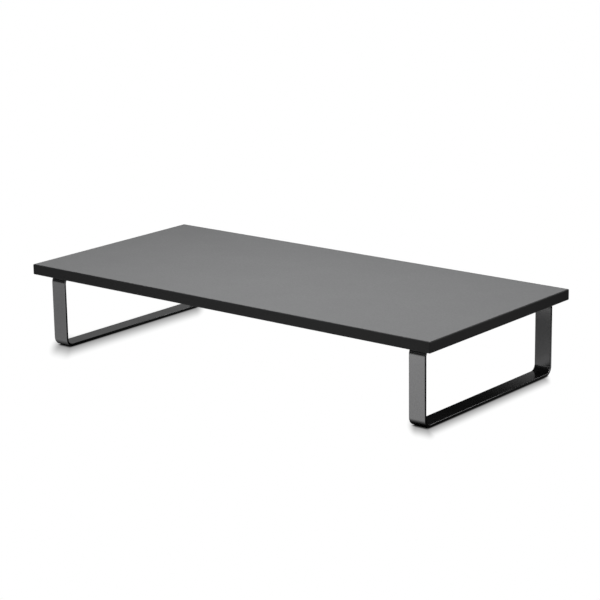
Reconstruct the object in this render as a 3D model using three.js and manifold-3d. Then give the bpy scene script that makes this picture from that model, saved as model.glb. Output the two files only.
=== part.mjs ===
// A desk riser: a laminated board standing on two closed loops of flat steel bar.
//
// Millimetres, +Z up. X runs along the board's long side and -Y is the user's side. The origin
// is the middle of the footprint, on the surface that the foot pads stand on.

import * as THREE from 'three';
import { mergeVertices } from 'three/addons/utils/BufferGeometryUtils.js';
import Module from 'manifold-3d';

const wasm = await Module();
wasm.setup();

// Board: a fibreboard core with a laminate sheet on each face and a plastic band on each edge.
const BOARD_W = 560;
const BOARD_D = 260;
const BOARD_T = 12;
const LAMINATE_T = 0.5;
const BAND_T = 1.5;
const CORNER_R = 1.5; // the board's upright corners
const EASE_R = 1.2; // rounding of the band's top and bottom edges

// Legs: 20 x 3 mm flat bar, bent into a closed loop that stands across the board.
const BAR_W = 20;
const BAR_T = 3;
const BEND_R = 10; // outer radius of each bend
const LEG_H = 85.5;
const LEG_END_INSET = 16; // from the board's short edge to the bar
const LEG_FRONT_INSET = 14;
const LEG_REAR_INSET = 8;
const LEG_D = BOARD_D - LEG_FRONT_INSET - LEG_REAR_INSET;
const LEG_X = BOARD_W / 2 - LEG_END_INSET - BAR_W / 2;
const LEG_Y = (LEG_FRONT_INSET - LEG_REAR_INSET) / 2;

// Foot pads: thin oblong pads under each loop, clear of its bends.
const PAD_L = 30;
const PAD_W = 14;
const PAD_T = 0.5;
const PAD_SETBACK = 29; // from the loop's end to the pad's centre

// Fasteners: M4 x 10 countersunk screws in M4 x 8 inserts, three to a leg.
const SCREW_D = 4;
const SCREW_L = 10;
const HEAD_D = 8;
const HEAD_LAND = 0.3; // the straight rim of the head, before its 90 degree cone
const HEAD_SUNK = 0.2; // how far the head sits inside the bar
const TIP_CHAMFER = 0.5;
const SOCKET_FLATS = 2.5;
const SOCKET_DEPTH = 1.4;
const INSERT_D = 8;
const INSERT_ROOT_D = 6.6; // between the crests of its wood thread
const INSERT_L = 8;
const INSERT_CRESTS = 3;
const SCREW_PITCH = 92; // from one screw to the next along the top bar
const CLEARANCE = 0.3; // around each screw and insert

const Z_LEG = PAD_T;
const Z_BOARD = Z_LEG + LEG_H;

const ROUND_SEGMENTS = 24;
const BEND_SEGMENTS = 10;

const LAMINATE = new THREE.MeshStandardMaterial({ color: 0x6b6b6c, roughness: 0.43, metalness: 0 });
const BACKING = new THREE.MeshStandardMaterial({ color: 0x2a2a2b, roughness: 0.6, metalness: 0 });
const EDGE_BAND = new THREE.MeshStandardMaterial({ color: 0x252525, roughness: 0.5, metalness: 0 });
const FIBREBOARD = new THREE.MeshStandardMaterial({ color: 0x8a6a48, roughness: 0.9, metalness: 0 });
const BAR_COAT = new THREE.MeshStandardMaterial({ color: 0x757576, roughness: 0.3, metalness: 0.9 });
const SCREW_BLACK = new THREE.MeshStandardMaterial({ color: 0x1c1c1e, roughness: 0.35, metalness: 0.9 });
const INSERT_ZINC = new THREE.MeshStandardMaterial({ color: 0xb9a878, roughness: 0.35, metalness: 1 });
const PAD_RUBBER = new THREE.MeshStandardMaterial({ color: 0x0e0e0f, roughness: 0.85, metalness: 0 });

// Geometry helpers

// A closed geometry as a solid that can be cut.
function solid(geometry) {
  const bare = geometry.clone();
  bare.deleteAttribute('normal');
  bare.deleteAttribute('uv');
  const merged = mergeVertices(bare, 1e-4);
  const index = merged.index.array;
  const corners = [];
  for (let i = 0; i < index.length; i += 3) {
    const [a, b, c] = [index[i], index[i + 1], index[i + 2]];
    if (a !== b && b !== c && c !== a) {
      corners.push(a, b, c);
    }
  }
  const vertProperties = new Float32Array(merged.attributes.position.array);
  return new wasm.Manifold(
    new wasm.Mesh({ numProp: 3, vertProperties, triVerts: new Uint32Array(corners) }),
  );
}

// A solid as a geometry with flat faces.
function geometryOf(cutSolid) {
  const mesh = cutSolid.getMesh();
  const indexed = new THREE.BufferGeometry();
  indexed.setAttribute('position', new THREE.BufferAttribute(mesh.vertProperties, 3));
  indexed.setIndex(new THREE.BufferAttribute(mesh.triVerts, 1));
  const geometry = indexed.toNonIndexed();
  geometry.computeVertexNormals();
  return geometry;
}

function named(name, geometry, material) {
  const mesh = new THREE.Mesh(geometry, material);
  mesh.name = name;
  return mesh;
}

// A rectangle with round corners, centred on (0, 0), drawn anticlockwise on a shape or a path.
function drawRoundedRect(path, width, height, radius) {
  const x = width / 2 - radius;
  const y = height / 2 - radius;
  path.moveTo(-x, -y - radius);
  path.lineTo(x, -y - radius);
  path.absarc(x, -y, radius, -Math.PI / 2, 0, false);
  path.lineTo(x + radius, y);
  path.absarc(x, y, radius, 0, Math.PI / 2, false);
  path.lineTo(-x, y + radius);
  path.absarc(-x, y, radius, Math.PI / 2, Math.PI, false);
  path.lineTo(-x - radius, -y);
  path.absarc(-x, -y, radius, Math.PI, Math.PI * 1.5, false);
  return path;
}

// A box that stands on z = bottom.
function slab(xLow, xHigh, yLow, yHigh, bottom, top) {
  const box = new THREE.BoxGeometry(xHigh - xLow, yHigh - yLow, top - bottom);
  return box.translate((xLow + xHigh) / 2, (yLow + yHigh) / 2, (bottom + top) / 2);
}

// A solid of revolution about +Z from [radius, z] pairs, listed from the bottom up.
function turned(profile) {
  const points = profile.map(([radius, z]) => new THREE.Vector2(radius, z));
  return new THREE.LatheGeometry(points, ROUND_SEGMENTS).rotateX(Math.PI / 2);
}

// Where the three screws of one leg stand along Y.
function screwPlaces() {
  return [-1, 0, 1].map((step) => LEG_Y + step * SCREW_PITCH);
}

// Board, built with its underside on z = 0

// The finished board's outside, with round corners and eased edges.
function boardEnvelope() {
  const outline = drawRoundedRect(
    new THREE.Shape(),
    BOARD_W - 2 * EASE_R,
    BOARD_D - 2 * EASE_R,
    CORNER_R - EASE_R,
  );
  const options = {
    depth: BOARD_T - 2 * EASE_R,
    bevelEnabled: true,
    bevelThickness: EASE_R,
    bevelSize: EASE_R,
    bevelSegments: 4,
    curveSegments: 6,
  };
  return solid(new THREE.ExtrudeGeometry(outline, options).translate(0, 0, EASE_R));
}

// The front and rear bands run the board's full length, and the side bands stand between them.
function edgeBands() {
  const envelope = boardEnvelope();
  const x = BOARD_W / 2;
  const y = BOARD_D / 2;
  const blocks = {
    front_edge_band: slab(-x, x, -y, -y + BAND_T, 0, BOARD_T),
    rear_edge_band: slab(-x, x, y - BAND_T, y, 0, BOARD_T),
    left_edge_band: slab(-x, -x + BAND_T, -y + BAND_T, y - BAND_T, 0, BOARD_T),
    right_edge_band: slab(x - BAND_T, x, -y + BAND_T, y - BAND_T, 0, BOARD_T),
  };
  return Object.entries(blocks).map(([name, block]) =>
    named(name, geometryOf(envelope.intersect(solid(block))), EDGE_BAND),
  );
}

// The six blind holes that hold the inserts, as one cutter.
function insertHoles() {
  const radius = INSERT_D / 2 + CLEARANCE;
  const profile = [[0, -1], [radius, -1], [radius, INSERT_L], [0, INSERT_L]];
  const holes = [];
  for (const x of [-LEG_X, LEG_X]) {
    for (const y of screwPlaces()) {
      holes.push(solid(turned(profile).translate(x, y, 0)));
    }
  }
  return holes.reduce((all, hole) => all.add(hole));
}

function board() {
  const x = BOARD_W / 2 - BAND_T;
  const y = BOARD_D / 2 - BAND_T;
  const holes = insertHoles();
  const core = solid(slab(-x, x, -y, y, LAMINATE_T, BOARD_T - LAMINATE_T));
  const underside = solid(slab(-x, x, -y, y, 0, LAMINATE_T));
  const group = new THREE.Group();
  group.position.z = Z_BOARD;
  group.add(
    named('board_core', geometryOf(core.subtract(holes)), FIBREBOARD),
    named('top_laminate', slab(-x, x, -y, y, BOARD_T - LAMINATE_T, BOARD_T), LAMINATE),
    named('bottom_laminate', geometryOf(underside.subtract(holes)), BACKING),
    ...edgeBands(),
  );
  return group;
}

// Legs, built about the middle of the bar's width with their underside on z = 0

// The countersunk hole for one screw, about z = 0 at the top bar's lower face.
function screwHole() {
  const wide = HEAD_D / 2 + CLEARANCE;
  const narrow = SCREW_D / 2 + CLEARANCE;
  const coneBase = HEAD_SUNK + HEAD_LAND;
  const coneTop = coneBase + (HEAD_D - SCREW_D) / 2;
  return turned([
    [0, -1],
    [wide, -1],
    [wide, coneBase],
    [narrow, coneTop],
    [narrow, BAR_T + 1],
    [0, BAR_T + 1],
  ]);
}

function legFrame() {
  const outline = drawRoundedRect(new THREE.Shape(), LEG_D, LEG_H, BEND_R);
  const inside = drawRoundedRect(
    new THREE.Path(),
    LEG_D - 2 * BAR_T,
    LEG_H - 2 * BAR_T,
    BEND_R - BAR_T,
  );
  outline.holes.push(inside);
  const loop = new THREE.ExtrudeGeometry(outline, {
    depth: BAR_W,
    bevelEnabled: false,
    curveSegments: BEND_SEGMENTS,
  });
  // The outline's x runs along Y, its y along Z, and the bar's width along X.
  loop.applyMatrix4(
    new THREE.Matrix4().makeBasis(
      new THREE.Vector3(0, 1, 0),
      new THREE.Vector3(0, 0, 1),
      new THREE.Vector3(1, 0, 0),
    ),
  );
  loop.translate(-BAR_W / 2, LEG_Y, LEG_H / 2);
  let frame = solid(loop);
  for (const y of screwPlaces()) {
    frame = frame.subtract(solid(screwHole().translate(0, y, LEG_H - BAR_T)));
  }
  return geometryOf(frame);
}

// Fasteners, about z = 0 at the face that the screw's head is sunk into

function screw() {
  const headTop = HEAD_LAND + (HEAD_D - SCREW_D) / 2;
  const body = solid(
    turned([
      [0, 0],
      [HEAD_D / 2, 0],
      [HEAD_D / 2, HEAD_LAND],
      [SCREW_D / 2, headTop],
      [SCREW_D / 2, SCREW_L - TIP_CHAMFER],
      [SCREW_D / 2 - TIP_CHAMFER, SCREW_L],
      [0, SCREW_L],
    ]),
  );
  const socketRadius = SOCKET_FLATS / Math.sqrt(3);
  const hexagon = new THREE.CylinderGeometry(socketRadius, socketRadius, 2 * SOCKET_DEPTH, 6);
  const socket = solid(hexagon.rotateX(Math.PI / 2));
  return geometryOf(body.subtract(socket).translate([0, 0, HEAD_SUNK]));
}

// A sleeve with a coarse outside thread, drawn as separate crests, standing on z = 0.
function insert() {
  const bore = SCREW_D / 2 + CLEARANCE;
  const crest = INSERT_D / 2;
  const root = INSERT_ROOT_D / 2;
  const pitch = INSERT_L / INSERT_CRESTS;
  const profile = [[bore, 0]];
  for (let i = 0; i < INSERT_CRESTS; i += 1) {
    const base = i * pitch;
    profile.push([root, base], [crest, base + pitch * 0.4], [crest, base + pitch * 0.6]);
  }
  profile.push([root, INSERT_L], [bore, INSERT_L], [bore, 0]);
  return turned(profile);
}

function footPad() {
  const outline = drawRoundedRect(new THREE.Shape(), PAD_W, PAD_L, PAD_W / 2);
  return new THREE.ExtrudeGeometry(outline, {
    depth: PAD_T,
    bevelEnabled: false,
    curveSegments: BEND_SEGMENTS,
  });
}

// One loop with its own screws, inserts and pads. All of them stand at the loop's x.
function legAssembly(side, x) {
  const group = new THREE.Group();
  group.position.x = x;

  const frame = named(`${side}_leg_frame`, legFrame(), BAR_COAT);
  frame.position.z = Z_LEG;
  group.add(frame);

  const screwNames = ['front', 'middle', 'rear'];
  screwPlaces().forEach((y, i) => {
    const fastener = named(`${side}_${screwNames[i]}_screw`, screw(), SCREW_BLACK);
    fastener.position.set(0, y, Z_BOARD - BAR_T);
    const sleeve = named(`${side}_${screwNames[i]}_insert`, insert(), INSERT_ZINC);
    sleeve.position.set(0, y, Z_BOARD);
    group.add(fastener, sleeve);
  });

  const reach = LEG_D / 2 - PAD_SETBACK;
  for (const [end, direction] of [['front', -1], ['rear', 1]]) {
    const pad = named(`${side}_${end}_pad`, footPad(), PAD_RUBBER);
    pad.position.y = LEG_Y + direction * reach;
    group.add(pad);
  }
  return group;
}

const deskRiser = new THREE.Group();
deskRiser.add(board(), legAssembly('left', -LEG_X), legAssembly('right', LEG_X));

export default deskRiser;
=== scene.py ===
import math

import bmesh
import bpy
from mathutils import Matrix, Vector


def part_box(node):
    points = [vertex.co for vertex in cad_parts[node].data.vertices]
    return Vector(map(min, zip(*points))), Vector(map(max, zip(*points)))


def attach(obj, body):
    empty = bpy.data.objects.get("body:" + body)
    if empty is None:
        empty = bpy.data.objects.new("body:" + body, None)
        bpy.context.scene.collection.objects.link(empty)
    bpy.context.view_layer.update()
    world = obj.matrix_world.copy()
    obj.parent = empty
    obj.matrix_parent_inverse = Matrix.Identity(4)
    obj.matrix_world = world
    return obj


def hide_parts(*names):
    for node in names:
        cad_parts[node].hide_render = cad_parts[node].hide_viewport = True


# A desk riser: a laminated board on two closed loops of flat steel bar.
# Metres, +Z up, +X along the board's long side, -Y towards the user, origin under the middle.

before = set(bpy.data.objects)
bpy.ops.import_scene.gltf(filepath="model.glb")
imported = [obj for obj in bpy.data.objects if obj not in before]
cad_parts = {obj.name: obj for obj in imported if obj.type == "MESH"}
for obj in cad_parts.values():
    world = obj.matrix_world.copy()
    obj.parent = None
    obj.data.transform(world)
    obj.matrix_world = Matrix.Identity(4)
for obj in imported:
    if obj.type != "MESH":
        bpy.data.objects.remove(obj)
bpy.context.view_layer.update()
MM = 0.001
SIDES = ("left", "right")

# Mesh making
SAME_POINT = 1e-7  # points nearer than this are one
SHARP_ANGLE = 35  # degrees; edges that turn more stay crisp
PAST = 6 * MM  # how far a cutter stands out beyond what it cuts
CUTTER_REACH = 1  # metres to each side, well past any piece

# Board
CORNER_R = 1.5 * MM  # the upright corners
EASE_R = 1.2 * MM  # the bands' top and bottom edges
SEAM = 0.08 * MM  # the hairline chamfer where two pieces meet
CORNER_STEPS = 10
EASE_STEPS = 6

# Flat bar
BAR_T = 3 * MM
BEND_R = 10 * MM
BAR_EDGE_R = 0.5 * MM
BEND_STEPS = 18
BAR_EDGE_STEPS = 5

# Fasteners
SCREW_NAMES = ("front", "middle", "rear")
ROUND_STEPS = 48
ROWS_A_TURN = 8  # of a machine thread
CLEARANCE = 0.3 * MM
HEAD_LAND = 0.3 * MM
RIM_R = 0.12 * MM
RIM_MIDDLE = 0.3 * RIM_R  # how far in and up the middle of the head's rounded rim lies
SHANK_R = 2 * MM
SCREW_PITCH = 0.7 * MM
THREAD_DEPTH = 0.4 * MM
TIP_CHAMFER = 0.5 * MM
SOCKET_FLATS = 2.5 * MM
SOCKET_MOUTH_R = SOCKET_FLATS / math.sqrt(3) + RIM_R
SOCKET_FLARE = 2 * RIM_R  # how deep the round mouth runs into the hexagon
SOCKET_DEPTH = 1.4 * MM
SOCKET_CONE = 0.5 * MM
WORN_HEIGHT = 2.5 * RIM_R  # wear on the head: how far up, in from its rim and out from its socket
WORN_RIM = 2 * RIM_R
WORN_MOUTH = RIM_R / 2
COUNTERSINK_SINK = 0.2 * MM
INSERT_ROOT_R = 3.3 * MM
INSERT_TURNS = 3
INSERT_ROWS_A_TURN = 16
INSERT_LEAD = 3 * RIM_R  # the chamfer at both ends, inside and outside
BORE_R = 2.3 * MM
BORE_CREST = 0.18 * MM

# Pads
PAD_EDGE_R = 0.3 * MM
PAD_EDGE_STEPS = 4
PAD_END_STEPS = 14

# Colours: a darker and a lighter tone, and for some a cloudy one, a worn one, or, for the bar's edges, a
# painted highlight
LAMINATE_TONES = ((0.142, 0.143, 0.145), (0.168, 0.169, 0.171))
LAMINATE_CLOUD = (0.136, 0.137, 0.139)
BACKING_TONES = ((0.020, 0.020, 0.021), (0.028, 0.028, 0.029))
BAND_TONES = ((0.016, 0.016, 0.0163), (0.022, 0.022, 0.0223))
BAND_WORN = (0.034, 0.034, 0.035)
BAR_TONES = ((0.157, 0.157, 0.158), (0.207, 0.207, 0.209))
# a lighter tone painted on the bar's rounded edges as a highlight
BAR_EDGE_HIGHLIGHT = (0.24, 0.24, 0.25)
OXIDE_TONES = ((0.020, 0.020, 0.022), (0.034, 0.032, 0.031))
OXIDE_WORN = (0.16, 0.155, 0.15)
ZINC_TONES = ((0.60, 0.49, 0.26), (0.66, 0.60, 0.42))
FIBRE_TONES = ((0.24, 0.155, 0.085), (0.42, 0.29, 0.17))
FIBRE_CLOUD = (0.30, 0.20, 0.11)
RUBBER_TONES = ((0.010, 0.010, 0.0105), (0.018, 0.018, 0.0185))
CARD_BLACK = (0.01, 0.01, 0.01, 1)
PAPER_WHITE = (1, 1, 1, 1)

# Heights of the bump in each grain
LAMINATE_GRAIN = 0.012 * MM
BAND_GRAIN = 0.01 * MM
COAT_PEEL = 0.006 * MM
OXIDE_GRAIN = 0.01 * MM
FIBRE_GRAIN = 0.05 * MM
RUBBER_PORES = 0.03 * MM

# Camera: degrees, metres and a lens in millimetres
AZIMUTH = 39.112
ELEVATION = 14.680
ROLL = -0.862
DISTANCE = 2.2695
LENS = 121.37
AIM_HEIGHT = 0.051
AIM_RIGHT = 0.00812
AIM_UP = 0.01874
CLIP_END = 100

# Floor
FLOOR_HALF = 12
OCCLUSION_SAMPLES = 16
# Painted shade on the floor under a bar or pad, from an occlusion test
BENEATH_REACH = 3 * MM  # how near above the floor a bar or pad has to be to darken it
BENEATH_CURVE = [(0.15, 0.0), (0.8, 1.0)]  # (share of the rays upwards that get out, brightness)

# The contact shadow painted on the floor for the camera
SHADOW_TURN = math.radians(39)  # it spreads farthest this way round from -Y
SHADOW_SQUASH = 0.25  # its reach across that direction, as a share of its reach along it
SHADOW_REACH = {"left": (13.5 * MM, 13 * MM), "right": (9 * MM, 7.4 * MM)}  # front foot, +X side
SHADOW_FRONT = BEND_R / 2  # how far in from a loop's front and -X side it starts
SHADOW_REAR = 1.5 * BEND_R  # how far in from a loop's rear it ends
SHADOW_CURVE = [  # (share of the reach, brightness)
    (0.0, 0.22),
    (0.1, 0.38),
    (0.25, 0.48),
    (0.43, 0.62),
    (0.62, 0.78),
    (0.81, 0.92),
    (1.0, 1.0),
]

# The floor that the object mirrors and is lit by glows with painted light and shade, bright in front and
# dark under the board: (place along an axis, brightness)
FRONT_BY_X = [(-0.45, 0.6), (0.10, 1.05), (0.27, 1.05), (0.36, 0.15)]
FRONT_BY_Y = [(-9.0, 0.3), (-1.2, 0.6), (-0.35, 1.15), (-0.25, 1.0), (-0.142, 0.94), (-0.124, 0.0)]
FRONT_SHIFT_BY_X = [(-0.23, 0.016), (-0.2, 0.0), (0.2, 0.0), (0.23, 0.010)]  # (x, metres further back)
UNDER_BY_X = [
    (-0.9, 0.3),
    (-0.3, 0.3),
    (-0.27, 0.03),
    (0.03, 0.03),
    (0.15, 0.24),
    (0.21, 0.29),
    (0.225, 0.44),
    (0.235, 0.44),
    (0.25, 0.02),
]
UNDER_BY_Y = [(-0.15, 0.0), (-0.11, 0.1), (0.0, 1.0), (0.12, 1.0), (0.15, 0.0)]
LEFT_REAR_BY_X = [(-0.6, 0.7), (0.05, 0.7), (0.25, 0.0)]
LEFT_REAR_BY_Y = [(0.13, 0.0), (0.17, 1.0), (0.5, 1.0), (1.2, 0.2)]
REAR_BY_Y = [(0.11, 0.0), (0.15, 0.36), (0.36, 0.08), (1.0, 0.10), (2.0, 0.05)]

# The room that the object mirrors: (direction along an axis, brightness), multiplied together
ROOM_BY_X = [(-0.2, 1.0), (0.7, 0.7)]
ROOM_BY_Y = [(-0.4, 0.3), (0.2, 1.0)]
ROOM_BY_Z = [(0.0, 0.1), (0.1, 0.04), (0.16, 0.04), (0.26, 0.33), (0.38, 0.33), (0.48, 0.04)]

# Black cards, and soft lights
CARDS = [(0.15, -0.12, 0.050, 0.097), (0.30, -0.22, 0.080, 0.152)]  # y, left end, bottom, top
CARD_RIGHT = 0.32
SOFTBOXES = {  # place, aim, width, height, radiance
    "overhead": ((-0.03, -0.1, 0.8), (-0.02, -0.05, 0.09), 0.5, 0.5, 8.5),
    "right": ((1.35, -0.2, 0.85), (0.1, 0, 0.05), 1.2, 0.8, 4.4),
    "back": ((0.5, 1.6, 1.3), (0.2, 0, 0), 1.8, 1.0, 1.6),
}


# Mesh helpers


def new_object(name, vertices, faces):
    mesh = bpy.data.meshes.new(name)
    mesh.from_pydata(vertices, [], faces)
    mesh.update()
    made = bpy.data.objects.new(name, mesh)
    bpy.context.scene.collection.objects.link(made)
    return made


def loft(name, rings, looped=False):
    """Joins equal rings of points, listed so that the faces look outwards. Open ends are capped."""
    count = len(rings[0])
    vertices = [tuple(point) for ring in rings for point in ring]
    faces = []
    for i in range(len(rings) if looped else len(rings) - 1):
        here = i * count
        there = (i + 1) % len(rings) * count
        for j in range(count):
            k = (j + 1) % count
            faces.append((here + j, here + k, there + k, there + j))
    if not looped:
        faces.append(tuple(reversed(range(count))))
        faces.append(tuple(range(len(vertices) - count, len(vertices))))
    return new_object(name, vertices, faces)


def rounded_outline(half_x, half_y, radius, steps):
    """A rectangle with round corners about (0, 0), anticlockwise, with no point listed twice."""
    points = []
    for quarter in range(4):
        start = quarter * math.pi / 2
        sign_x = 1 if quarter in (0, 3) else -1
        sign_y = 1 if quarter in (0, 1) else -1
        for step in range(steps + 1):
            angle = start + step * math.pi / 2 / steps
            x = sign_x * (half_x - radius) + radius * math.cos(angle)
            y = sign_y * (half_y - radius) + radius * math.sin(angle)
            if not points or math.dist(points[-1], (x, y)) > SAME_POINT:
                points.append((x, y))
    if math.dist(points[0], points[-1]) < SAME_POINT:
        points.pop()
    return points


def eased_profile(low, high, radius, steps):
    """(inset, z) pairs up the side of a slab whose edges are rounded."""
    arc = [math.pi / 2 * step / steps for step in range(steps + 1)]
    foot = [(radius * (1 - math.sin(a)), low + radius * (1 - math.cos(a))) for a in arc]
    side = [(radius * (1 - math.cos(a)), high - radius * (1 - math.sin(a))) for a in arc]
    return foot + side


def prism(name, section, axis, reach):
    """A section of (across, z) pairs drawn out along X or Y to both sides of the middle."""
    rings = []
    for along in (-reach, reach):
        if axis == "x":
            rings.append([(along, across, z) for across, z in section])
        else:
            rings.append([(across, along, z) for across, z in section])
    made = loft(name, rings)
    face_outwards(made.data)
    return made


def face_outwards(mesh):
    shape = bmesh.new()
    shape.from_mesh(mesh)
    bmesh.ops.recalc_face_normals(shape, faces=shape.faces)
    shape.to_mesh(mesh)
    shape.free()


def apply_modifiers(made):
    graph = bpy.context.evaluated_depsgraph_get()
    mesh = bpy.data.meshes.new_from_object(made.evaluated_get(graph))
    made.modifiers.clear()
    made.data = mesh


def combine(made, tool, operation):
    """Cuts made by tool, or keeps what they share, and deletes the tool."""
    change = made.modifiers.new("combine", "BOOLEAN")
    change.operation = operation
    change.solver = "EXACT"
    change.object = tool
    apply_modifiers(made)
    bpy.data.objects.remove(tool)


def soften(made):
    """Smooth shading that leaves flat faces flat and sharp edges crisp."""
    mesh = made.data
    mesh.shade_smooth()
    mesh.set_sharp_from_angle(angle=math.radians(SHARP_ANGLE))
    normals = made.modifiers.new("normals", "WEIGHTED_NORMAL")
    normals.keep_sharp = True


def mark_edges(made, wear_and_highlight_at):
    """Keeps how near each vertex is to an edge that the materials lighten: a rubbed edge, and on the
    bars an edge with a painted highlight.
    """
    wear_and_highlight = made.data.attributes.new("wear_and_highlight", "FLOAT", "POINT")
    wear_and_highlight.data.foreach_set("value", [wear_and_highlight_at(v.co) for v in made.data.vertices])


def finish_piece(made, material, node):
    made.data.materials.clear()
    made.data.materials.append(material)
    soften(made)
    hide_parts(node)
    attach(made, "root")


# Material helpers


def add(tree, kind, **settings):
    """Makes a node. A setting with a capital is an input, with _ for a space, and others are options."""
    node = tree.nodes.new("ShaderNode" + kind)
    for name, value in settings.items():
        if name[0].isupper():
            node.inputs[name.replace("_", " ")].default_value = value
        else:
            setattr(node, name, value)
    return node


def join(tree, output, target):
    tree.links.new(output, target)


def noise(tree, scale, detail=3, roughness=0.5, stretch=None):
    """Noise fixed to the object: scale is blotches a metre, which stretch multiplies by axis."""
    place = add(tree, "TexCoord").outputs["Object"]
    if stretch:
        mapping = add(tree, "Mapping", Scale=stretch)
        join(tree, place, mapping.inputs["Vector"])
        place = mapping.outputs["Vector"]
    texture = add(tree, "TexNoise", Scale=scale, Detail=detail, Roughness=roughness)
    join(tree, place, texture.inputs["Vector"])
    return texture.outputs["Fac"]


def spread(tree, value, low, high, start=0.3, end=0.7):
    """Turns a value between start and end into one between low and high."""
    node = add(tree, "MapRange", From_Min=start, From_Max=end, To_Min=low, To_Max=high)
    join(tree, value, node.inputs["Value"])
    return node.outputs["Result"]


def arithmetic(tree, operation, first, second):
    node = add(tree, "Math", operation=operation)
    join(tree, first, node.inputs[0])
    if isinstance(second, float):
        node.inputs[1].default_value = second
    else:
        join(tree, second, node.inputs[1])
    return node.outputs["Value"]


def blend_colours(tree, share, first, second):
    """Mixes two colours, each of them fixed or another node's output."""
    node = add(tree, "Mix", data_type="RGBA")
    join(tree, share, node.inputs["Factor"])
    sockets = [socket for socket in node.inputs if socket.type == "RGBA"]
    for value, socket in zip((first, second), sockets):
        if isinstance(value, tuple):
            socket.default_value = (*value, 1)
        else:
            join(tree, value, socket)
    return [socket for socket in node.outputs if socket.type == "RGBA"][0]


def mottled(tree, value, tones):
    """A colour that runs from the first tone to the second with a noise."""
    return blend_colours(tree, spread(tree, value, 0, 1), *tones)


def with_wear_and_highlight(tree, tone, colour, share):
    """The tone, with up to a share of another colour where edges are rubbed, and on the bars where a
    highlight is painted.
    """
    wear_and_highlight_share = add(tree, "Attribute", attribute_name="wear_and_highlight").outputs["Fac"]
    return blend_colours(tree, spread(tree, wear_and_highlight_share, 0, share, 0, 1), tone, colour)


def bump(tree, height, depth):
    node = add(tree, "Bump", Strength=1, Distance=depth)
    join(tree, height, node.inputs["Height"])
    return node.outputs["Normal"]


def start_material(name, **settings):
    material = bpy.data.materials.new(name)
    material.use_nodes = True
    tree = material.node_tree
    tree.nodes.clear()
    shader = add(tree, "BsdfPrincipled", **settings)
    output = add(tree, "OutputMaterial")
    join(tree, shader.outputs["BSDF"], output.inputs["Surface"])
    return material, tree, shader.inputs


# Materials


def laminate_material():
    material, tree, shader = start_material("laminate", Specular_IOR_Level=0.45)
    clouds = noise(tree, scale=14, detail=4)
    grain = noise(tree, scale=900, detail=2, roughness=0.6)
    speck = noise(tree, scale=420, detail=2)
    tone = mottled(tree, speck, LAMINATE_TONES)
    shade = blend_colours(tree, spread(tree, clouds, 0, 0.35), tone, LAMINATE_CLOUD)
    join(tree, shade, shader["Base Color"])
    rough = arithmetic(tree, "ADD", spread(tree, clouds, 0.40, 0.46), spread(tree, grain, -0.03, 0.03))
    join(tree, rough, shader["Roughness"])
    join(tree, bump(tree, grain, LAMINATE_GRAIN), shader["Normal"])
    return material


def backing_material():
    material, tree, shader = start_material("backing", Specular_IOR_Level=0.1)
    grain = noise(tree, scale=800, detail=2, roughness=0.6)
    clouds = noise(tree, scale=20, detail=4)
    join(tree, mottled(tree, grain, BACKING_TONES), shader["Base Color"])
    join(tree, spread(tree, clouds, 0.55, 0.65), shader["Roughness"])
    join(tree, bump(tree, grain, LAMINATE_GRAIN), shader["Normal"])
    return material


def edge_band_material():
    material, tree, shader = start_material("edge_band", Specular_IOR_Level=0.12)
    grain = noise(tree, scale=1100, detail=2)
    scrape = noise(tree, scale=90, detail=3, stretch=(0.15, 0.15, 6))
    tone = mottled(tree, grain, BAND_TONES)
    join(tree, with_wear_and_highlight(tree, tone, BAND_WORN, share=0.5), shader["Base Color"])
    rough = arithmetic(tree, "ADD", spread(tree, scrape, 0.42, 0.52), spread(tree, grain, -0.03, 0.03))
    join(tree, rough, shader["Roughness"])
    join(tree, bump(tree, grain, BAND_GRAIN), shader["Normal"])
    return material


def bar_material():
    material, tree, shader = start_material("gunmetal_coat", Metallic=0.98)
    peel = noise(tree, scale=650, detail=2, roughness=0.45)
    flake = noise(tree, scale=2600, detail=1)
    clouds = noise(tree, scale=25, detail=3)
    tone = mottled(tree, flake, BAR_TONES)
    # painted highlight: a lighter tone on the rounded edges
    join(tree, with_wear_and_highlight(tree, tone, BAR_EDGE_HIGHLIGHT, share=0.3), shader["Base Color"])
    rough = arithmetic(tree, "ADD", spread(tree, clouds, 0.18, 0.23), spread(tree, flake, -0.02, 0.02))
    join(tree, rough, shader["Roughness"])
    join(tree, bump(tree, peel, COAT_PEEL), shader["Normal"])
    return material


def screw_material():
    material, tree, shader = start_material("black_oxide", Metallic=0.85)
    mottle = noise(tree, scale=900, detail=3)
    tone = mottled(tree, mottle, OXIDE_TONES)
    join(tree, with_wear_and_highlight(tree, tone, OXIDE_WORN, share=0.7), shader["Base Color"])
    join(tree, spread(tree, mottle, 0.28, 0.42), shader["Roughness"])
    join(tree, bump(tree, mottle, OXIDE_GRAIN), shader["Normal"])
    return material


def insert_material():
    material, tree, shader = start_material("yellow_zinc", Metallic=1)
    bloom = noise(tree, scale=300, detail=3)
    join(tree, mottled(tree, bloom, ZINC_TONES), shader["Base Color"])
    join(tree, spread(tree, noise(tree, scale=1200), 0.25, 0.40), shader["Roughness"])
    return material


def core_material():
    material, tree, shader = start_material("fibreboard", Specular_IOR_Level=0.2)
    fibre = noise(tree, scale=500, detail=5, roughness=0.7, stretch=(1, 1, 4))
    clouds = noise(tree, scale=60, detail=3)
    tone = mottled(tree, fibre, FIBRE_TONES)
    colour = blend_colours(tree, spread(tree, clouds, 0, 0.3), tone, FIBRE_CLOUD)
    join(tree, colour, shader["Base Color"])
    join(tree, spread(tree, fibre, 0.85, 0.98), shader["Roughness"])
    join(tree, bump(tree, fibre, FIBRE_GRAIN), shader["Normal"])
    return material


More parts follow.
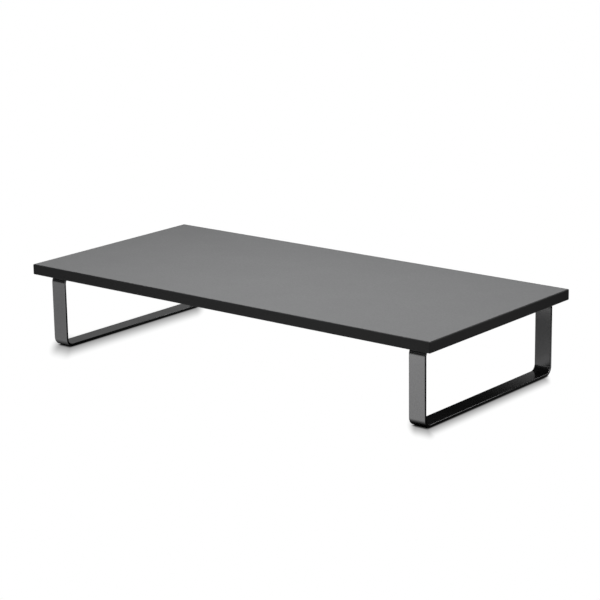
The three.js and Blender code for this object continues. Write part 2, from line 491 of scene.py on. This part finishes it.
def pad_material():
    material, tree, shader = start_material("pad_rubber", Specular_IOR_Level=0.3)
    pores = noise(tree, scale=1500, detail=3)
    join(tree, mottled(tree, pores, RUBBER_TONES), shader["Base Color"])
    join(tree, spread(tree, pores, 0.72, 0.88), shader["Roughness"])
    join(tree, bump(tree, pores, RUBBER_PORES), shader["Normal"])
    return material


# Board


def board_box():
    low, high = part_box("front_edge_band")
    _, rear_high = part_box("rear_edge_band")
    left_low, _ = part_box("left_edge_band")
    _, right_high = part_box("right_edge_band")
    return Vector((left_low.x, low.y, low.z)), Vector((right_high.x, rear_high.y, high.z))


def board_envelope(name):
    """The finished board's outside: round upright corners and eased edges."""
    low, high = board_box()
    middle = (low + high) / 2
    half = (high - low) / 2
    rings = []
    for inset, z in eased_profile(low.z, high.z, EASE_R, EASE_STEPS):
        outline = rounded_outline(half.x - inset, half.y - inset, CORNER_R - inset, CORNER_STEPS)
        rings.append([(middle.x + x, middle.y + y, z) for x, y in outline])
    return loft(name, rings)


def keep_between(made, across, low, high):
    """Keeps what lies between two places on an axis, with a hairline chamfer at each."""
    bottom, top = (corner.z for corner in board_box())
    slope = SEAM + PAST
    section = [
        (low + slope, bottom - PAST),
        (high - slope, bottom - PAST),
        (high, bottom + SEAM),
        (high, top - SEAM),
        (high - slope, top + PAST),
        (low + slope, top + PAST),
        (low, top - SEAM),
        (low, bottom + SEAM),
    ]
    tool = prism("cutter", section, "x" if across == "y" else "y", CUTTER_REACH)
    combine(made, tool, "INTERSECT")


def band_worn_at(point, low, high):
    """1 on the eased edges of the board's outside and 0 on its flats."""
    from_edge = min(point.z - low.z, high.z - point.z)
    return max(0.0, 1 - from_edge / EASE_R)


def edge_bands(material):
    low, high = board_box()
    _, front_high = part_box("front_edge_band")
    rear_low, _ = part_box("rear_edge_band")
    _, left_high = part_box("left_edge_band")
    right_low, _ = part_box("right_edge_band")
    far = 4 * PAST
    spans = {
        "front": [("y", low.y - far, front_high.y)],
        "rear": [("y", rear_low.y, high.y + far)],
        "left": [("x", low.x - far, left_high.x), ("y", front_high.y, rear_low.y)],
        "right": [("x", right_low.x, high.x + far), ("y", front_high.y, rear_low.y)],
    }
    for side, cuts in spans.items():
        band = board_envelope(side + "_band")
        for across, start, end in cuts:
            keep_between(band, across, start, end)
        mark_edges(band, lambda point: band_worn_at(point, low, high))
        finish_piece(band, material, side + "_edge_band")


def laminate_sheet(name, node, rising):
    """A flat sheet with a hairline chamfer round its outer face."""
    low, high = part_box(node)
    if rising:
        levels = [(0, low.z), (0, high.z - SEAM), (SEAM, high.z)]
    else:
        levels = [(SEAM, low.z), (0, low.z + SEAM), (0, high.z)]
    rings = []
    for inset, z in levels:
        x0, x1, y0, y1 = low.x + inset, high.x - inset, low.y + inset, high.y - inset
        rings.append([(x0, y0, z), (x1, y0, z), (x1, y1, z), (x0, y1, z)])
    return loft(name, rings)


def laminates(top_finish, underside_finish):
    top = laminate_sheet("top_sheet", "top_laminate", True)
    finish_piece(top, top_finish, "top_laminate")
    underside = laminate_sheet("underside_sheet", "bottom_laminate", False)
    for side in SIDES:
        for place in SCREW_NAMES:
            low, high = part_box(f"{side}_{place}_insert")
            middle = (low + high) / 2
            radius = (high.x - low.x) / 2 + CLEARANCE
            hole = lathe("hole", middle, [(radius, low.z - PAST), (radius, low.z + PAST)])
            combine(underside, hole, "DIFFERENCE")
    finish_piece(underside, underside_finish, "bottom_laminate")


# Round pieces


def lathe(name, middle, profile):
    """A solid of revolution about a vertical axis, from (radius, z) pairs listed upwards."""
    return loft(name, [plain_ring(middle, z, radius) for radius, z in profile])


def thread_wave(z, angle, pitch):
    """0 in the root and 1 on the crest of a right-hand thread."""
    return 1 - abs(2 * ((z / pitch - angle / (2 * math.pi)) % 1) - 1)


def ring_of(middle, z, radius_at):
    """A level ring whose radius depends on the angle."""
    ring = []
    for i in range(ROUND_STEPS):
        angle = 2 * math.pi * i / ROUND_STEPS
        radius = radius_at(angle)
        ring.append((middle.x + radius * math.cos(angle), middle.y + radius * math.sin(angle), z))
    return ring


def plain_ring(middle, z, radius):
    return ring_of(middle, z, lambda angle: radius)


def threaded_ring(middle, z, pitch, root, depth):
    return ring_of(middle, z, lambda angle: root + depth * thread_wave(z, angle, pitch))


def hexagon_ring(middle, z, across_flats):
    sixth = math.pi / 3
    return ring_of(middle, z, lambda angle: across_flats / 2 / math.cos(angle % sixth - sixth / 2))


def steps_between(low, high, size):
    count = max(1, round((high - low) / size))
    return [low + (high - low) * i / count for i in range(count + 1)]


def screw(name, node, material):
    """A countersunk screw, head down: hex socket, head, neck, machine thread and chamfered tip."""
    low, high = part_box(node)
    middle = (low + high) / 2
    face = low.z
    head_r = (high.x - low.x) / 2
    cone_top = face + HEAD_LAND + head_r - SHANK_R
    thread_low = cone_top + RIM_R
    thread_high = high.z - TIP_CHAMFER
    rings = [
        plain_ring(middle, face + SOCKET_DEPTH + SOCKET_CONE, RIM_R),
        hexagon_ring(middle, face + SOCKET_DEPTH, SOCKET_FLATS),
        hexagon_ring(middle, face + SOCKET_FLARE, SOCKET_FLATS),
        plain_ring(middle, face, SOCKET_MOUTH_R),
        plain_ring(middle, face, head_r - RIM_R),
        plain_ring(middle, face + RIM_MIDDLE, head_r - RIM_MIDDLE),
        plain_ring(middle, face + RIM_R, head_r),
        plain_ring(middle, face + HEAD_LAND, head_r),
        plain_ring(middle, cone_top, SHANK_R),
    ]
    for z in steps_between(thread_low, thread_high, SCREW_PITCH / ROWS_A_TURN):
        depth = THREAD_DEPTH * min(1, (z - thread_low) / SCREW_PITCH)
        rings.append(threaded_ring(middle, z, SCREW_PITCH, SHANK_R - depth, depth))
    tip_r = SHANK_R - THREAD_DEPTH
    rings.append(plain_ring(middle, thread_high + RIM_R, tip_r))
    rings.append(plain_ring(middle, high.z, tip_r - TIP_CHAMFER))
    made = loft(name, rings)
    mark_edges(made, lambda point: screw_worn_at(point, middle, face, head_r))
    finish_piece(made, material, node)


def screw_worn_at(point, middle, face, head_r):
    """1 where use rubs the head bright: its rim and the socket's mouth."""
    if point.z > face + WORN_HEIGHT:
        return 0.0
    radius = math.hypot(point.x - middle.x, point.y - middle.y)
    return 1.0 if radius > head_r - WORN_RIM or radius < SOCKET_MOUTH_R + WORN_MOUTH else 0.0


def insert(name, node, material):
    """A sleeve with a machine thread in its bore, and outside a coarse wood thread that rises
    over one turn and ends over half a turn."""
    low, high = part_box(node)
    middle = (low + high) / 2
    crest = (high.x - low.x) / 2 - INSERT_ROOT_R
    pitch = (high.z - low.z) / INSERT_TURNS
    start = low.z + INSERT_LEAD
    end = high.z - INSERT_LEAD
    mouth_r = BORE_R + INSERT_LEAD
    rings = [plain_ring(middle, low.z, INSERT_ROOT_R - INSERT_LEAD)]
    for z in steps_between(start, end, pitch / INSERT_ROWS_A_TURN):
        fade = min(1, (z - low.z) / pitch, (high.z - z) / pitch * 2)
        rings.append(threaded_ring(middle, z, pitch, INSERT_ROOT_R, crest * fade))
    rings.append(plain_ring(middle, high.z, INSERT_ROOT_R - INSERT_LEAD))
    rings.append(plain_ring(middle, high.z, mouth_r))
    for z in reversed(steps_between(start, end, SCREW_PITCH / ROWS_A_TURN)):
        rings.append(threaded_ring(middle, z, SCREW_PITCH, BORE_R - BORE_CREST, BORE_CREST))
    rings.append(plain_ring(middle, low.z, mouth_r))
    finish_piece(loft(name, rings, looped=True), material, node)


def fasteners(screw_finish, insert_finish):
    for side in SIDES:
        for place in SCREW_NAMES:
            screw(f"{side}_{place}_socket_screw", f"{side}_{place}_screw", screw_finish)
            insert(f"{side}_{place}_sleeve", f"{side}_{place}_insert", insert_finish)


# Legs


def bar_section(half_width):
    """(across, depth) pairs round the bar's section; depth runs from the loop's outer face inwards."""
    outline = rounded_outline(half_width, BAR_T / 2, BAR_EDGE_R, BAR_EDGE_STEPS)
    return [(x, BAR_T / 2 - y) for x, y in outline]


def loop_stations(half_y, half_z):
    """(bend centre y, bend centre z, outward angle) round the loop, anticlockwise seen from +X."""
    stations = []
    for quarter in range(4):
        sign_y = 1 if quarter in (0, 3) else -1
        sign_z = 1 if quarter in (0, 1) else -1
        for step in range(BEND_STEPS + 1):
            angle = (quarter + step / BEND_STEPS) * math.pi / 2
            stations.append((sign_y * (half_y - BEND_R), sign_z * (half_z - BEND_R), angle))
    return stations


def leg_loop(name, middle, half):
    section = bar_section(half.x)
    rings = []
    for y, z, angle in loop_stations(half.y, half.z):
        ring = []
        for across, depth in section:
            reach = BEND_R - depth
            ring.append((
                middle.x + across,
                middle.y + y + reach * math.cos(angle),
                middle.z + z + reach * math.sin(angle),
            ))
        rings.append(ring)
    made = loft(name, rings, looped=True)
    face_outwards(made.data)
    return made


def countersink(made, screw_node, face):
    """Opens one countersunk hole upwards from the top bar's lower face."""
    low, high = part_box(screw_node)
    middle = (low + high) / 2
    wide = (high.x - low.x) / 2 + CLEARANCE
    narrow = SHANK_R + CLEARANCE
    cone_base = face + COUNTERSINK_SINK + HEAD_LAND
    profile = [
        (wide + PAST, face - PAST + RIM_R),
        (wide, face + RIM_R),
        (wide, cone_base),
        (narrow, cone_base + wide - narrow - CLEARANCE),
        (narrow, face + BAR_T + PAST),
    ]
    combine(made, lathe("countersink", middle, profile), "DIFFERENCE")


def bar_highlight_at(point, middle, half):
    """1 on the bar's rounded edges, where a highlight is painted, and 0 on its wide faces."""
    past_flat = abs(point.x - middle.x) - (half.x - BAR_EDGE_R)
    return min(1.0, max(0.0, past_flat / BAR_EDGE_R))


def legs(material):
    for side in SIDES:
        node = side + "_leg_frame"
        low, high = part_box(node)
        middle = (low + high) / 2
        half = (high - low) / 2
        made = leg_loop(side + "_loop", middle, half)
        top_bar_face = middle.z + half.z - BAR_T
        for place in SCREW_NAMES:
            countersink(made, f"{side}_{place}_screw", top_bar_face)
        mark_edges(made, lambda point: bar_highlight_at(point, middle, half))
        finish_piece(made, material, node)


def pad(node, material):
    low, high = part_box(node)
    middle = (low + high) / 2
    half = (high - low) / 2
    rings = []
    for inset, z in eased_profile(low.z, high.z, PAD_EDGE_R, PAD_EDGE_STEPS):
        outline = rounded_outline(half.x - inset, half.y - inset, half.x - inset, PAD_END_STEPS)
        rings.append([(middle.x + x, middle.y + y, z) for x, y in outline])
    finish_piece(loft(node + "_rubber", rings), material, node)


def pads(material):
    for side in SIDES:
        for end in ("front", "rear"):
            pad(f"{side}_{end}_pad", material)


# Stage


def ramp(tree, value, stops, smooth=True):
    """A value that goes from stop to stop: stops are (value in, value out) pairs."""
    result = None
    for (start, low), (end, high) in zip(stops, stops[1:]):
        first = result is None
        node = add(
            tree,
            "MapRange",
            interpolation_type="SMOOTHSTEP" if smooth else "LINEAR",
            From_Min=start,
            From_Max=end,
            To_Min=low if first else 0,
            To_Max=high if first else high - low,
        )
        join(tree, value, node.inputs["Value"])
        step = node.outputs["Result"]
        result = step if first else arithmetic(tree, "ADD", result, step)
    return result


def occlusion(tree, reach, direction):
    """The share of rays towards a direction that meet nothing within reach."""
    node = add(tree, "AmbientOcclusion", samples=OCCLUSION_SAMPLES, Distance=reach)
    facing = add(tree, "CombineXYZ")
    for socket, value in zip(facing.inputs, direction):
        socket.default_value = value
    join(tree, facing.outputs["Vector"], node.inputs["Normal"])
    return node.outputs["AO"]


def flattened(x, y):
    """A place on the floor in the contact shadow's own space, where it spreads evenly."""
    across = x * math.cos(SHADOW_TURN) + y * math.sin(SHADOW_TURN)
    along = y * math.cos(SHADOW_TURN) - x * math.sin(SHADOW_TURN)
    return Vector((across, along * SHADOW_SQUASH, 0))


def vector_math(tree, operation, first, second):
    node = add(tree, "VectorMath", operation=operation)
    for value, socket in zip((first, second), node.inputs):
        if isinstance(value, Vector):
            socket.default_value = value
        else:
            join(tree, value, socket)
    return node.outputs["Value" if operation in ("DOT_PRODUCT", "DISTANCE") else "Vector"]


def distance_from(tree, place, start, end):
    """How far a place is from the straight line between two points."""
    line = end - start
    offset = vector_math(tree, "SUBTRACT", place, start)
    share = add(tree, "Clamp")
    along = vector_math(tree, "DOT_PRODUCT", offset, line / line.length_squared)
    join(tree, along, share.inputs["Value"])
    nearest = add(tree, "VectorMath", operation="SCALE", Vector=line)
    join(tree, share.outputs["Result"], nearest.inputs["Scale"])
    return vector_math(tree, "DISTANCE", offset, nearest.outputs["Vector"])


def contact_shadow(tree, position):
    """A painted shadow: soft dark along the front foot and the +X side of each loop, fading out over its
    reach.
    """
    mapping = add(
        tree,
        "Mapping",
        vector_type="TEXTURE",
        Rotation=(0, 0, SHADOW_TURN),
        Scale=(1, 1 / SHADOW_SQUASH, 1),
    )
    join(tree, position, mapping.inputs["Vector"])
    nearest = None
    for side, reaches in SHADOW_REACH.items():
        low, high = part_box(side + "_leg_frame")
        front = low.y + SHADOW_FRONT
        rear = high.y - SHADOW_REAR
        corners = [(low.x + SHADOW_FRONT, front), (high.x, front), (high.x, rear)]
        turns = [flattened(x, y) for x, y in corners]
        for start, end, reach in zip(turns, turns[1:], reaches):
            away = distance_from(tree, mapping.outputs["Vector"], start, end)
            share = arithmetic(tree, "MULTIPLY", away, 1 / reach)
            nearest = share if nearest is None else arithmetic(tree, "MINIMUM", nearest, share)
    return ramp(tree, nearest, SHADOW_CURVE, smooth=False)


def mirrored_floor(tree, x, y):
    """The floor's painted light and shade for reflections and light: in front of, under and behind the
    object.
    """
    shifted_y = arithmetic(tree, "SUBTRACT", y, ramp(tree, x, FRONT_SHIFT_BY_X))
    parts = [
        (ramp(tree, x, FRONT_BY_X), ramp(tree, shifted_y, FRONT_BY_Y)),
        (ramp(tree, x, UNDER_BY_X), ramp(tree, y, UNDER_BY_Y)),
        (ramp(tree, x, LEFT_REAR_BY_X), ramp(tree, y, LEFT_REAR_BY_Y)),
    ]
    total = ramp(tree, y, REAR_BY_Y)
    for by_x, by_y in parts:
        total = arithmetic(tree, "ADD", total, arithmetic(tree, "MULTIPLY", by_x, by_y))
    return total


def pick_by_ray(tree, mirrored, seen):
    """One value for the camera's own rays and another for the rays of reflections and light."""
    pick = add(tree, "Mix", data_type="FLOAT")
    join(tree, add(tree, "LightPath").outputs["Is Camera Ray"], pick.inputs["Factor"])
    join(tree, mirrored, pick.inputs["A"])
    if isinstance(seen, float):
        pick.inputs["B"].default_value = seen
    else:
        join(tree, seen, pick.inputs["B"])
    return pick.outputs["Result"]


def make_floor():
    """White paper that glows evenly to the camera, with a painted soft shadow where the bars stand on
    it.
    Reflections and light see the floor glow with painted light and shade that changes from place to
    place."""
    half = FLOOR_HALF
    corners = [(-half, -half, 0), (half, -half, 0), (half, half, 0), (-half, half, 0)]
    floor = new_object("floor", corners, [(0, 1, 2, 3)])
    material = bpy.data.materials.new("floor")
    material.use_nodes = True
    material.cycles.emission_sampling = "NONE"
    tree = material.node_tree
    tree.nodes.clear()

    position = add(tree, "NewGeometry").outputs["Position"]
    place = add(tree, "SeparateXYZ")
    join(tree, position, place.inputs["Vector"])
    # painted shade under the bars and pads from an occlusion test; the camera sees it times the painted
    # contact shadow
    beneath = ramp(tree, occlusion(tree, BENEATH_REACH, (0, 0, 1)), BENEATH_CURVE, smooth=False)
    seen = arithmetic(tree, "MULTIPLY", contact_shadow(tree, position), beneath)
    around = mirrored_floor(tree, place.outputs["X"], place.outputs["Y"])
    mirrored = arithmetic(tree, "MULTIPLY", around, beneath)

    # the floor glows instead of being lit, carrying the painted light and shade
    glow = add(tree, "Emission")
    join(tree, pick_by_ray(tree, mirrored, seen), glow.inputs["Strength"])
    output = add(tree, "OutputMaterial")
    join(tree, glow.outputs["Emission"], output.inputs["Surface"])
    floor.data.materials.append(material)


def make_world():
    """A white backdrop for the camera. Reflections see a dim room with a brighter band high up."""
    world = bpy.data.worlds.new("studio")
    bpy.context.scene.world = world
    world.use_nodes = True
    tree = world.node_tree
    tree.nodes.clear()
    direction = add(tree, "SeparateXYZ")
    join(tree, add(tree, "TexCoord").outputs["Generated"], direction.inputs["Vector"])
    room = ramp(tree, direction.outputs["Z"], ROOM_BY_Z)
    for axis, stops in (("X", ROOM_BY_X), ("Y", ROOM_BY_Y)):
        room = arithmetic(tree, "MULTIPLY", room, ramp(tree, direction.outputs[axis], stops))
    backdrop = add(tree, "Background", Color=PAPER_WHITE)
    join(tree, pick_by_ray(tree, room, 1.0), backdrop.inputs["Strength"])
    output = add(tree, "OutputWorld")
    join(tree, backdrop.outputs["Background"], output.inputs["Surface"])


def make_cards():
    """Black cards behind the right half. In the main view only the right loop's bars mirror them."""
    material, _, _ = start_material(
        "black_card", Base_Color=CARD_BLACK, Roughness=0.9, Specular_IOR_Level=0
    )
    for y, left, bottom, top in CARDS:
        corners = [(left, y, bottom), (CARD_RIGHT, y, bottom), (CARD_RIGHT, y, top), (left, y, top)]
        card = new_object("card", corners, [(0, 1, 2, 3)])
        card.data.materials.append(material)
        card.visible_camera = False


def softbox(name, place, aim, width, height, radiance):
    data = bpy.data.lights.new(name, "AREA")
    data.shape = "RECTANGLE"
    data.size = width
    data.size_y = height
    data.energy = radiance * width * height * math.pi
    made = bpy.data.objects.new(name, data)
    bpy.context.scene.collection.objects.link(made)
    made.location = place
    made.rotation_mode = "QUATERNION"
    made.rotation_quaternion = (Vector(aim) - Vector(place)).to_track_quat("-Z", "Y")
    made.visible_camera = False


def make_lights():
    for name, settings in SOFTBOXES.items():
        softbox(name, *settings)


def make_camera():
    azimuth = math.radians(AZIMUTH)
    elevation = math.radians(ELEVATION)
    back = Vector((
        math.sin(azimuth) * math.cos(elevation),
        -math.cos(azimuth) * math.cos(elevation),
        math.sin(elevation),
    ))
    right = Vector((math.cos(azimuth), math.sin(azimuth), 0))
    up = back.cross(right)
    data = bpy.data.cameras.new("camera")
    data.lens = LENS
    data.clip_end = CLIP_END
    camera = bpy.data.objects.new("camera", data)
    bpy.context.scene.collection.objects.link(camera)
    turn = Matrix.Rotation(math.radians(ROLL), 3, "Z")
    facing = Matrix((right, up, back)).transposed() @ turn
    place = Vector((0, 0, AIM_HEIGHT)) + back * DISTANCE + right * AIM_RIGHT + up * AIM_UP
    camera.matrix_world = Matrix.Translation(place) @ facing.to_4x4()
    bpy.context.scene.camera = camera


def finish_core():
    """The fibreboard core keeps its CAD shape and gets its material."""
    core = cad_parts["board_core"]
    core.data.materials.clear()
    core.data.materials.append(core_material())


def build():
    make_camera()
    laminates(laminate_material(), backing_material())
    edge_bands(edge_band_material())
    legs(bar_material())
    fasteners(screw_material(), insert_material())
    pads(pad_material())
    finish_core()
    make_floor()
    make_world()
    make_cards()
    make_lights()
    bpy.context.scene.view_settings.view_transform = "Standard"


build()
